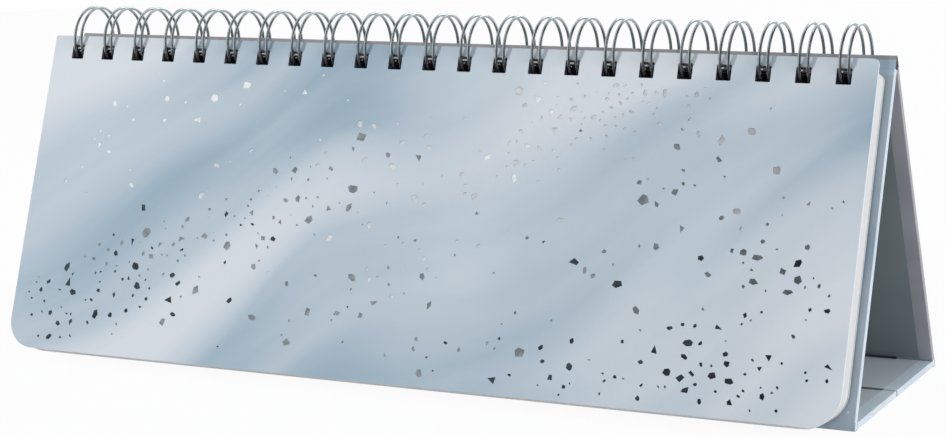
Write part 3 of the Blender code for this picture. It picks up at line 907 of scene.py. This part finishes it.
def fold(name, body, first, corner, last, materials, node, split=None):
    """Paper folded round a corner; faces below the split height on the first leg take slot 1."""
    outer = fold_line(first, corner, last, FOLD_RADIUS)
    inner = inner_line(first, corner, last, PAPER, FOLD_RADIUS)
    half = STAND_WIDTH / 2
    made = Build()
    count = len(outer)

    def band(start, end, which=0):
        sides = (-half, *start), (half, *start), (half, *end), (-half, *end)
        made.add(list(sides), QUAD, which)

    for k in range(count - 1):
        for line in (outer, inner):
            (ya, za), (yb, zb) = line[k], line[k + 1]
            pieces = [((ya, za), (yb, zb), 0)]
            if split and k == 0:
                t = (split - za) / (zb - za)
                ym, zm = ya + (yb - ya) * t, split
                pieces = [((ya, za), (ym, zm), 1), ((ym, zm), (yb, zb), 0)]
            for start, end, which in pieces:
                band(start, end, which)
    for k in (0, count - 1):
        band(outer[k], inner[k])
    for x in (-half, half):
        for k in range(count - 1):
            corners = (outer[k], outer[k + 1], inner[k + 1], inner[k])
            made.add([(x, *spot) for spot in corners], QUAD)
    made.piece(name, body, materials, (node,), smooth=40)


def yz(point):
    return (point[1], point[2])


# Gussets: where they start up the slope, their depth under the paper's face, and thickness
GUSSET_START = 0.55
GUSSET_SKIN = 0.27
GUSSET_THICK = 0.3


def foot_caps(name, body, panel, base):
    """Small turned-in gussets that close both ends of a foot between the boards."""
    made = Build()
    near = BOARD_START - 0.1
    outline = ((GUSSET_START, -GUSSET_SKIN), (near, -GUSSET_SKIN), (near, -THICK + 0.1))
    for x in (-STAND_WIDTH / 2 + 0.02, STAND_WIDTH / 2 - 0.02):
        corners = [panel(x, *spot) for spot in outline]
        corners += [base(x, *spot) for spot in reversed(outline)]
        inner = [(px - math.copysign(GUSSET_THICK, x), py, pz) for px, py, pz in corners]
        made.add(corners + inner, [tuple(range(6)), tuple(range(11, 5, -1))])
        made.add(corners + inner, tube_faces(6))
    # The gussets take the lighter edge paper, painted highlight
    made.piece(name, body, (BLUE_EDGE_HIGHLIGHT,), ())


# Seams between a fold and the papers beside it; above the split the ridge has its own print
GAP = 0.17
LAP = 0.02
RIDGE_SPLIT = 112.9
FOOT = BOARD_START - GAP
fold(
    "ridge_paper", "stand_front",
    yz(front(0, BOARD_TOP + GAP - LAP, 0)), (-ORIGIN_Y, APEX_Z), yz(back(0, BOARD_TOP + GAP, 0)),
    (RIDGE_WRAP, BLUE_WRAP), "ridge_strip", split=front(0, RIDGE_SPLIT, 0)[2],
)
fold(
    "front_foot_paper", "stand_front",
    yz(front(0, FOOT + LAP, 0)), (-BASE_DEPTH / 2 - ORIGIN_Y, 0.0), yz(base_front(0, FOOT, 0)),
    (BLUE_WRAP,), "front_foot_fold",
)
fold(
    "rear_foot_paper", "stand_back",
    yz(back(0, FOOT + LAP, 0)), (BASE_DEPTH / 2 - ORIGIN_Y, 0.0), yz(base_rear(0, FOOT, 0)),
    (BLUE_WRAP,), "rear_foot_fold",
)

foot_caps("front_foot_gussets", "stand_front", front, base_front)
foot_caps("rear_foot_gussets", "stand_back", back, base_rear)

for node in ("front_board", "back_board", "base_front_board", "base_rear_board"):
    assign(node, GREYBOARD)


# Lining paper, pasted over the turned-in edges so that a narrow strip of each shows
STRIP_SHOWN = 4.5
LINING_LEVELS = (-THICK - 0.03, -THICK - 0.01)
SQUARE_CORNERS = (0.02, 0.02, 0.02, 0.02)
CREASE_SHADE_STRIP = 1.2


def lining(name, body, to_world, low, high, material, node, crease_shade=0.0):
    """A sheet that laps over the solid liner, with a strip of painted crease shade along its upper
    end.
    """
    assign(node, material)
    half = STAND_WIDTH / 2 - STRIP_SHOWN
    made = Build()
    main = [rounded_box(-half, half, low, high - crease_shade, SQUARE_CORNERS, 1)]
    made.sheet(to_world, main, *LINING_LEVELS)
    if crease_shade:
        end = [rounded_box(-half, half, high - crease_shade, high, SQUARE_CORNERS, 1)]
        made.sheet(to_world, end, *LINING_LEVELS, (1, 1, 1, 1))
    made.piece(name, body, (material, CREASE_SHADE_LINER), ())


STAND_LINING_LOW = BOARD_START + 0.5
BASE_LINING_LOW = BOARD_START + 1.1
LINING_TOP = FRONT_SLOT[0] - 2.0
CREASE_TOP = BASE_DEPTH / 2 - 0.03
# The stand's linings take the darker liner paper, painted shade inside the stand
lining("front_lining", "stand_front", front, STAND_LINING_LOW, LINING_TOP,
       SHADED_LINER, "front_liner")
lining("back_lining", "stand_back", back, STAND_LINING_LOW, LINING_TOP,
       SHADED_LINER, "back_liner")
# The base's linings end in a strip of painted crease shade
lining("base_front_lining", "base_front", base_front, BASE_LINING_LOW, CREASE_TOP,
       LINER, "base_front_liner", CREASE_SHADE_STRIP)
lining("base_rear_lining", "base_rear", base_rear, BASE_LINING_LOW, CREASE_TOP,
       LINER, "base_rear_liner", CREASE_SHADE_STRIP)


# Twin-loop wire
WIRE_SIDES = 12
ARC_STEPS = 44
BEND_STEPS = 5


def wire_path():
    """The wire's centre line as (x, angle round the loops' axis)."""
    top = math.radians(SEAM)
    tip = top - math.radians(SWEEP)
    bend = BEND / LOOP_RADIUS
    turn = HALF_SPACING / LOOP_RADIUS
    start = top - bend
    stop = tip + turn
    path = []
    for order, x in enumerate(centres()):
        left = x - HALF_SPACING
        right = x + HALF_SPACING
        if order > 0:
            for k in range(BEND_STEPS):
                a = math.pi / 2 * k / BEND_STEPS
                path.append((left - BEND * (1 - math.sin(a)), top - bend * (1 - math.cos(a))))
        for k in range(ARC_STEPS + 1):
            path.append((left, start + (stop - start) * k / ARC_STEPS))
        for k in range(1, 2 * BEND_STEPS):
            a = math.pi * k / (2 * BEND_STEPS)
            path.append((x - HALF_SPACING * math.cos(a), stop - turn * math.sin(a)))
        for k in range(ARC_STEPS + 1):
            path.append((right, stop + (start - stop) * k / ARC_STEPS))
        if order < HOLES - 1:
            for k in range(1, BEND_STEPS + 1):
                a = math.pi / 2 * k / BEND_STEPS
                path.append((right + BEND * (1 - math.cos(a)), top - bend * (1 - math.sin(a))))
    return path


def add_wire():
    path = wire_path()
    cy, cz = yz(front(0, LOOP_UP, LOOP_OUT))
    spots = [
        Vector((x, cy + LOOP_RADIUS * math.cos(a), cz + LOOP_RADIUS * math.sin(a)))
        for x, a in path
    ]
    count = len(path)
    sides = WIRE_SIDES
    points = []
    for k in range(count):
        run = (spots[min(k + 1, count - 1)] - spots[max(k - 1, 0)]).normalized()
        a = path[k][1]
        radial = Vector((0.0, math.cos(a), math.sin(a)))
        radial = (radial - run * radial.dot(run)).normalized()
        side = run.cross(radial)
        for n in range(sides):
            t = 2 * math.pi * n / sides
            reach = (radial * math.cos(t) + side * math.sin(t)) * (WIRE / 2)
            points.append(tuple(spots[k] + reach))
    faces = []
    for k in range(count - 1):
        for n in range(sides):
            m = (n + 1) % sides
            faces.append((k * sides + n, k * sides + m, (k + 1) * sides + m, (k + 1) * sides + n))
    faces.append(tuple(reversed(range(sides))))
    faces.append(tuple(range((count - 1) * sides, count * sides)))
    wire = Build()
    wire.add(points, faces)
    wire.piece("loop_wire", "stand_front", (WIRE_METAL,), ("wire_binding",), smooth=50)


add_wire()


# Floor, world and lamps, in metres
FLOOR_RADIUS = 1.3
FLOOR_SIDES = 96
FLOOR_LEVEL = -0.0002
FLOOR_GLOW = 0.94


def white_rays(tree):
    """1 for rays from the camera, a mirror or a pane, 0 for those that light the scene."""
    path = tree.nodes.new("ShaderNodeLightPath")
    seen = path.outputs["Is Camera Ray"]
    for kind in ("Is Glossy Ray", "Is Transmission Ray"):
        node = tree.nodes.new("ShaderNodeMath")
        node.operation = "MAXIMUM"
        tree.links.new(seen, node.inputs[0])
        tree.links.new(path.outputs[kind], node.inputs[1])
        seen = node.outputs[0]
    return seen


def add_floor():
    mesh = bpy.data.meshes.new("floor")
    ring = []
    for k in range(FLOOR_SIDES):
        angle = math.tau * k / FLOOR_SIDES
        ring.append((FLOOR_RADIUS * math.cos(angle), FLOOR_RADIUS * math.sin(angle), 0))
    mesh.from_pydata(ring, [], [tuple(range(FLOOR_SIDES))])
    floor = bpy.data.objects.new("floor", mesh)
    floor.location = (0, 0, FLOOR_LEVEL)
    scene.collection.objects.link(floor)
    shader = Shader("pale_floor", 0.9, specular=0.1)
    shader.colour(rgb(242, 243, 244))
    glow = shader.tree.nodes.new("ShaderNodeEmission")
    glow.inputs["Color"].default_value = WHITE
    glow.inputs["Strength"].default_value = 1.0
    mixer = shader.tree.nodes.new("ShaderNodeMixShader")
    shader.link(shader.maths("MULTIPLY", white_rays(shader.tree), FLOOR_GLOW), mixer.inputs[0])
    shader.link(shader.bsdf.outputs[0], mixer.inputs[1])
    shader.link(glow.outputs[0], mixer.inputs[2])
    shader.link(mixer.outputs[0], shader.tree.nodes["Material Output"].inputs["Surface"])
    mesh.materials.append(shader.material)


add_floor()


# Dark cards: a curved one by its radius, height and angles from the front, and two flat ones
CARD_RADIUS = 0.46
CARD_HEIGHT = 0.75
CARD_ANGLES = (-10, 130)
CARD_STEPS = 24
CARD_ABOVE = (0.0, 0.5, -0.48, 0.1, 0.74)
CARD_BELOW = (-0.3, 0.5, -0.5, -0.09, 0.001)


def level_card(left, right, near, far, height):
    return [(left, near, height), (right, near, height), (right, far, height), (left, far, height)]


def add_cards():
    """Dark studio cards round the table that only reflections see, for contrast on the metal."""
    shader = Shader("dark_card", 1.0, specular=0.0)
    shader.colour(rgb(40, 44, 46))
    first, last = CARD_ANGLES
    upright = []
    for k in range(CARD_STEPS + 1):
        angle = math.radians(first + (last - first) * k / CARD_STEPS)
        spot = (CARD_RADIUS * math.sin(angle), -CARD_RADIUS * math.cos(angle))
        upright += [(*spot, 0.0), (*spot, CARD_HEIGHT)]
    strips = [(2 * k, 2 * k + 2, 2 * k + 3, 2 * k + 1) for k in range(CARD_STEPS)]
    cards = (
        (upright, strips),
        (level_card(*CARD_ABOVE), QUAD),
        (level_card(*CARD_BELOW), QUAD),
    )
    for number, (points, faces) in enumerate(cards):
        mesh = bpy.data.meshes.new("dark_card")
        mesh.from_pydata(points, [], faces)
        mesh.materials.append(shader.material)
        card = bpy.data.objects.new("dark_card_%d" % (number + 1), mesh)
        scene.collection.objects.link(card)
        card.visible_camera = False
        card.visible_diffuse = False
        card.visible_shadow = False
        card.visible_transmission = False
        card.visible_volume_scatter = False


add_cards()


# Daylight on the scene; what the camera and reflections see of the world is white
SKY_TINT = (0.94, 0.97, 1.0, 1.0)
SKY_STRENGTH = 0.47


def add_world():
    world = bpy.data.worlds.new("studio")
    scene.world = world
    world.use_nodes = True
    tree = world.node_tree
    soft = tree.nodes["Background"]
    soft.inputs["Color"].default_value = SKY_TINT
    soft.inputs["Strength"].default_value = SKY_STRENGTH
    white = tree.nodes.new("ShaderNodeBackground")
    white.inputs["Color"].default_value = WHITE
    white.inputs["Strength"].default_value = 1.0
    mixer = tree.nodes.new("ShaderNodeMixShader")
    tree.links.new(white_rays(tree), mixer.inputs[0])
    tree.links.new(soft.outputs[0], mixer.inputs[1])
    tree.links.new(white.outputs[0], mixer.inputs[2])
    tree.links.new(mixer.outputs[0], tree.nodes["World Output"].inputs["Surface"])


add_world()


# Lamps: place, diameter, watts, colour, and whether reflections see them
LAMP_TARGET = Vector((0, 0, 0.05))
LAMPS = (
    ("key", (-1.42, -1.25, 0.74), 0.16, 21.5, (1.0, 0.99, 0.97), False),
    ("fill", (1.75, -0.2, 0.75), 0.9, 15.0, (0.96, 0.98, 1.0), True),
    ("rear", (0.4, 1.8, 1.0), 1.2, 8.0, (1.0, 1.0, 1.0), True),
)


def add_lamp(name, place, size, watts, colour, mirrored):
    data = bpy.data.lights.new(name, "AREA")
    data.shape = "DISK"
    data.size = size
    data.energy = watts
    data.color = colour
    lamp = bpy.data.objects.new(name, data)
    lamp.location = place
    lamp.rotation_euler = (LAMP_TARGET - Vector(place)).to_track_quat("-Z", "Y").to_euler()
    lamp.visible_glossy = mirrored
    scene.collection.objects.link(lamp)


for lamp in LAMPS:
    add_lamp(*lamp)
